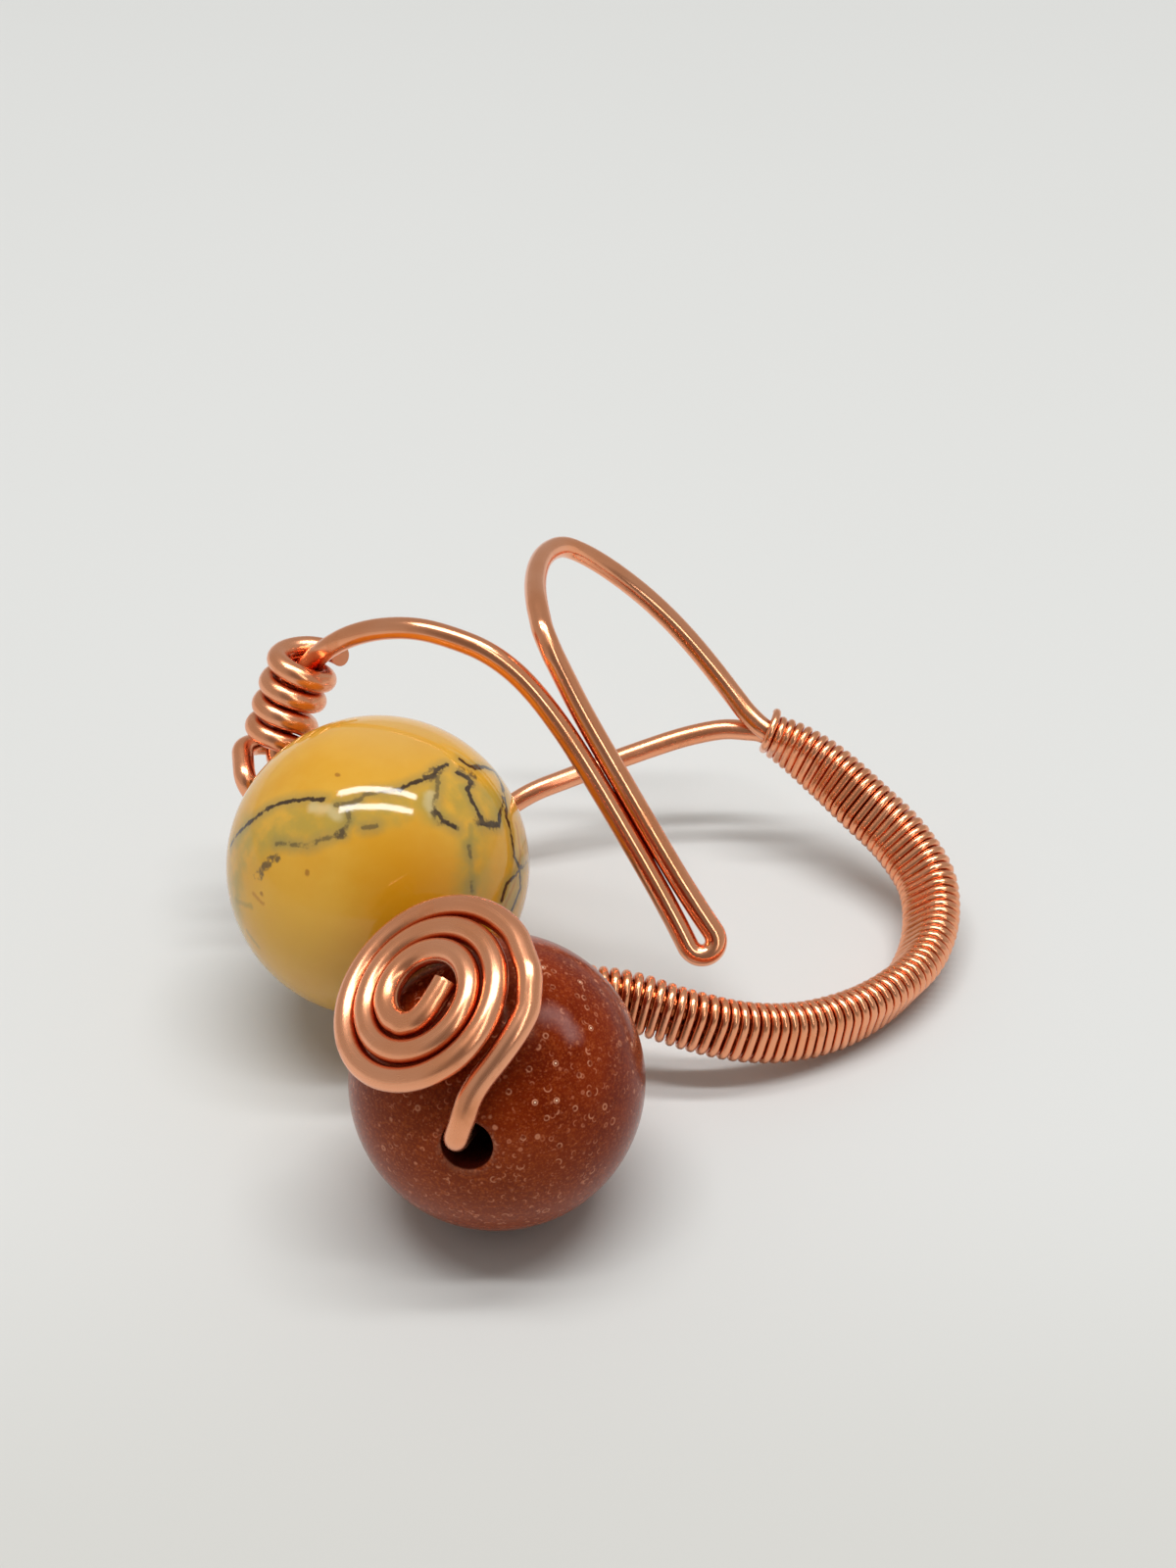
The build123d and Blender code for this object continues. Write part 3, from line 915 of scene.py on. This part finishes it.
def spiral_wire_points():
    up_left = square_to(Vector((-0.7, 0, 0.7)), brown_hole)
    points = spiral_points() + [brown_centre + on_bead(pixel, brown_centre, reach) for pixel, reach in SHANK]
    points += [brown_centre + brown_hole * reach + up_left * aside for reach, aside in INTO_HOLE]
    points.append(band_corner)
    corner = len(points) - 1
    points += core_points(-1, 0, 1) + [by_bore(shares) for shares in REAR_RUN]
    points += [
        Vector((yellow_centre.x + x * yellow_radius, yellow_centre.y + y * yellow_radius, wire_radius))
        for x, y in ON_TABLE
    ]
    points += [yellow_centre + Vector(shares) * yellow_radius for shares in UNDER_BEAD]
    return points + coil_points(), (corner,)


def evened(points, first, last):
    """Evens out the small steps in a stretch of points read from the photograph."""
    middle = [(points[place - 1] + points[place] * 2 + points[place + 1]) / 4 for place in range(first, last + 1)]
    return points[:first] + middle + points[last + 1 :]


def hairpin_wire_points():
    half_gap = end_gap / 2 / band_line.length
    points = core_points(1, 1 / 2 - half_gap, 0) + [yellow_entry, yellow_bend]
    bends = (len(points) - 2, len(points) - 1)
    points += [yellow_bend + coil_up * coil_mouth] + [by_bore(shares) for shares in ARC]
    arc_end = len(points) - 1
    points += hairpin_points() + [by_bore(shares) for shares in reversed(ARCH)]
    arch_end = len(points) - 1
    points += core_points(1, 1, 1 / 2 + half_gap)
    points = evened(points, arc_end - 2, arc_end + 1)
    return evened(points, arch_end - 8, arch_end - 1), bends


def with_bends(points, sharp):
    """Control points of a smooth line that bends at each point about as the bent wire does. A long run gets
    a point near each of its ends, so that the bend there stays as tight as its other run asks."""
    reaches = [0.0]
    for place in range(1, len(points) - 1):
        before, after = points[place] - points[place - 1], points[place + 1] - points[place]
        reach = min(before.length, after.length) / 2
        if place in sharp:
            reach = min(reach, bend_radius * tan(before.angle(after) / 2))
        reaches.append(reach)
    reaches.append(0.0)
    controls = [points[0]]
    for place in range(len(points) - 1):
        low, high = points[place], points[place + 1]
        run = (high - low).length
        along = (high - low) / run
        near, far = 2 * reaches[place], run - 2 * reaches[place + 1]
        middle = (near + far) / 2
        if near < far:
            stops = [stop for stop in (near, far) if end_margin * run < stop < (1 - end_margin) * run]
        elif middle_margin * run < middle < (1 - middle_margin) * run and min(near, run - far) < longest_reach * run:
            stops = [middle]
        else:
            stops = []
        controls += [low + along * stop for stop in stops]
        controls.append(high)
    return controls


def cut_end(shape, tip, facing_way, reach=8):
    """Cuts a wire's end off on a slant through tip. Only the last rings of the wire, nearest tip, are touched."""
    ends = [face for face in shape.faces if len(face.verts) > 4]
    end = min(ends, key=lambda face: (face.calc_center_median() - tip).length)
    near_tip = set(end.verts)
    for _ in range(reach):
        near_tip |= {edge.other_vert(vertex) for vertex in near_tip for edge in vertex.link_edges}
    edges = {edge for vertex in near_tip for edge in vertex.link_edges if edge.other_vert(vertex) in near_tip}
    faces = {face for vertex in near_tip for face in vertex.link_faces if near_tip.issuperset(face.verts)}
    cut = bmesh.ops.bisect_plane(
        shape, geom=[*near_tip, *edges, *faces], plane_co=tip, plane_no=facing_way, clear_outer=True, dist=1e-7
    )
    rim = [piece for piece in cut["geom_cut"] if isinstance(piece, bmesh.types.BMEdge)]
    bmesh.ops.edgeloop_fill(shape, edges=rim)


def ease_ends(shape, radius):
    """Takes the sharp edge off a wire's cut ends."""
    ends = [face for face in shape.faces if len(face.verts) > 4]
    edges = list({edge for face in ends for edge in face.edges})
    bmesh.ops.bevel(
        shape, geom=edges, offset=radius * end_rounding, affect="EDGES", segments=3, profile=0.5, material=-1,
        clamp_overlap=True,
    )


def wire_mesh(name, points, radius, sides, steps, smooth=True, cut=None):
    """Round wire along points: a smooth line that follows them, or the points themselves."""
    data = bpy.data.curves.new(name, "CURVE")
    data.dimensions = "3D"
    data.bevel_depth = radius * MM
    data.bevel_resolution = (sides - 4) // 2
    line = data.splines.new("NURBS" if smooth else "POLY")
    line.points.add(len(points) - 1)
    for control, point in zip(line.points, points):
        control.co = (*placed(point), 1)
    if smooth:
        line.order_u = 3
        line.use_endpoint_u = True
        line.resolution_u = steps
    line.use_smooth = True
    holder = bpy.data.objects.new(name, data)
    bpy.context.collection.objects.link(holder)
    ready = holder.evaluated_get(bpy.context.evaluated_depsgraph_get())
    mesh = bpy.data.meshes.new_from_object(ready)
    bpy.data.objects.remove(holder)
    bpy.data.curves.remove(data)
    if mesh.uv_layers:
        mesh.uv_layers[0].name = "along_wire"
    shape = bmesh.new()
    shape.from_mesh(mesh)
    bmesh.ops.holes_fill(shape, edges=[edge for edge in shape.edges if edge.is_boundary], sides=0)
    if cut:
        cut_end(shape, *cut)
    ease_ends(shape, radius * MM)
    bmesh.ops.recalc_face_normals(shape, faces=shape.faces)
    for face in shape.faces:
        face.smooth = len(face.verts) <= 4
    shape.to_mesh(mesh)
    shape.free()
    return mesh


def drilled_bead(name, centre, radius, hole, turns=144, arc_steps=110, rim_steps=5, wall_steps=10):
    """A ball with a drilled hole and rounded rims: half its outline is spun round the hole."""
    round_out = hole_radius + rim_round
    round_up = sqrt((radius - rim_round) ** 2 - round_out**2)
    lean = atan2(round_up, round_out)
    shape = bmesh.new()
    tip = shape.verts.new((hole_radius, 0, round_up))
    upright = Vector((0, -1, 0))

    def carried(vertex, middle, angle, steps):
        made = bmesh.ops.spin(
            shape, geom=[vertex], cent=middle, axis=upright, dvec=(0, 0, 0), angle=angle, steps=steps, use_merge=False
        )
        return made["geom_last"][0]

    tip = carried(tip, (round_out, 0, round_up), -(pi - lean), rim_steps)
    tip = carried(tip, (0, 0, 0), -2 * lean, arc_steps)
    tip = carried(tip, (round_out, 0, -round_up), -(pi - lean), rim_steps)
    for _ in range(wall_steps):
        grown = bmesh.ops.extrude_vert_indiv(shape, verts=[tip])["verts"][0]
        bmesh.ops.translate(shape, verts=[grown], vec=(0, 0, 2 * round_up / wall_steps))
        tip = grown
    outline = list(shape.verts) + list(shape.edges)
    bmesh.ops.spin(
        shape, geom=outline, cent=(0, 0, 0), axis=(0, 0, 1), dvec=(0, 0, 0), angle=2 * pi, steps=turns, use_merge=True
    )
    bmesh.ops.remove_doubles(shape, verts=shape.verts, dist=radius / 5000)
    bmesh.ops.recalc_face_normals(shape, faces=shape.faces)
    turn = Vector((0, 0, 1)).rotation_difference(hole).to_matrix().to_4x4()
    place = Matrix.Translation(placed(centre)) @ Matrix.Scale(MM, 4) @ turn
    bmesh.ops.transform(shape, matrix=place, verts=shape.verts)
    return smooth_mesh(name, shape)


def wrap_points():
    """The fine wire round the two core wires: half rounds over each, and straight across between them."""
    half_round = pi * wound_radius
    straight = 2 * leg_offset
    around = 2 * (half_round + straight)
    share = wrap_trim_front / band_line.length
    step = 0
    unevenness = 0.0
    points = []
    while share < 1 - wrap_trim_rear / band_line.length or step % wrap_steps != wrap_last_step:
        centre, along, lean = band_section(share)
        across = along.cross(lean)
        reach = (step / wrap_steps * around) % around
        side = 1 if reach < half_round + straight else -1
        reach -= 0 if side > 0 else half_round + straight
        if reach < half_round:
            angle = reach / wound_radius
            point = lean * leg_offset + (lean * sin(angle) - across * cos(angle)) * wound_radius
        else:
            point = lean * (leg_offset - (reach - half_round)) + across * wound_radius
        points.append(centre + point * side)
        if step % wrap_steps == 0:
            unevenness = random.uniform(-wrap_unevenness, wrap_unevenness) * (1 - share)
        gap = between_rows(WRAP_GAPS, share)[0] + unevenness
        share += (wrap_diameter + gap) / wrap_steps / band_line.length
        step += 1
    for place, lift in enumerate(WRAP_TAIL):
        points[-1 - place] += (points[-1 - place] - centre).normalized() * lift
    return points


def mark_crevice_shade(meshes, radii):
    """Gives each point of the wires a value: how closely other wire faces it, for the copper to paint as shade."""
    together = bmesh.new()
    for mesh in meshes:
        together.from_mesh(mesh)
    tree = BVHTree.FromBMesh(together)
    together.free()
    for mesh, radius in zip(meshes, radii):
        reach = radius * crevice_reach * MM
        values = []
        for vertex in mesh.vertices:
            normal = vertex.normal
            aside = normal.orthogonal().normalized() * 0.8
            other = normal.cross(aside)
            total = 0
            for way in (normal, normal + aside, normal - aside, normal + other, normal - other):
                way = way.normalized()
                gap = tree.ray_cast(vertex.co + way * reach * 0.02, way, reach)[3]
                total += 0 if gap is None else 1 - gap / reach
            values.append(total / 5)
        mesh.attributes.new("closed_in", "FLOAT", "POINT").data.foreach_set("value", values)


bright_copper = copper("bright_copper", (90, 40, 1), 0.24)
polished_copper = copper("polished_copper", (90, 40, 1), 0.17)
fine_copper = copper("fine_copper", (220, 22, 1), 0.22)

goldstone_bead = drilled_bead("goldstone_bead", brown_centre, brown_radius, brown_hole)
keep("goldstone_bead", goldstone_bead, goldstone(), "goldstone", "brown_bead")
veined_bead = drilled_bead("veined_bead", yellow_centre, yellow_radius, yellow_hole)
keep("veined_bead", veined_bead, howlite(), "howlite", "yellow_bead")

line, sharp = spiral_wire_points()
coil_end, coil_way = line[-1], (line[-1] - line[-2]).normalized()
coil_cut = (placed(coil_end - coil_way * coil_cut_back), (coil_way + coil_cut_slant).normalized())
spiral_wire = wire_mesh("spiral_and_coil_wire", with_bends(line, sharp), wire_radius, 20, 6, cut=coil_cut)
hairpin_wire = wire_mesh("hairpin_and_arch_wire", with_bends(*hairpin_wire_points()), wire_radius, 20, 6)
wrapping = wire_mesh("wrapping", wrap_points(), wrap_radius, 10, 1, smooth=False)
# How closely other wire faces each point, painted as shade by the copper
mark_crevice_shade((spiral_wire, hairpin_wire, wrapping), (wire_radius, wire_radius, wrap_radius))
wires = [
    keep("spiral_and_coil_wire", spiral_wire, bright_copper, "copper", "spiral_wire"),
    keep("hairpin_and_arch_wire", hairpin_wire, polished_copper, "copper", "hairpin_wire"),
    keep("wrapping", wrapping, fine_copper, "fine_copper", "band_wrap"),
]
light_wires("wire_strip", wires)

# The table
shape = bmesh.new()
bmesh.ops.create_grid(shape, x_segments=1, y_segments=1, size=table_half_side)
table = bpy.data.objects.new("table", smooth_mesh("table", shape))
table.data.materials.append(table_top())
bpy.context.collection.objects.link(table)
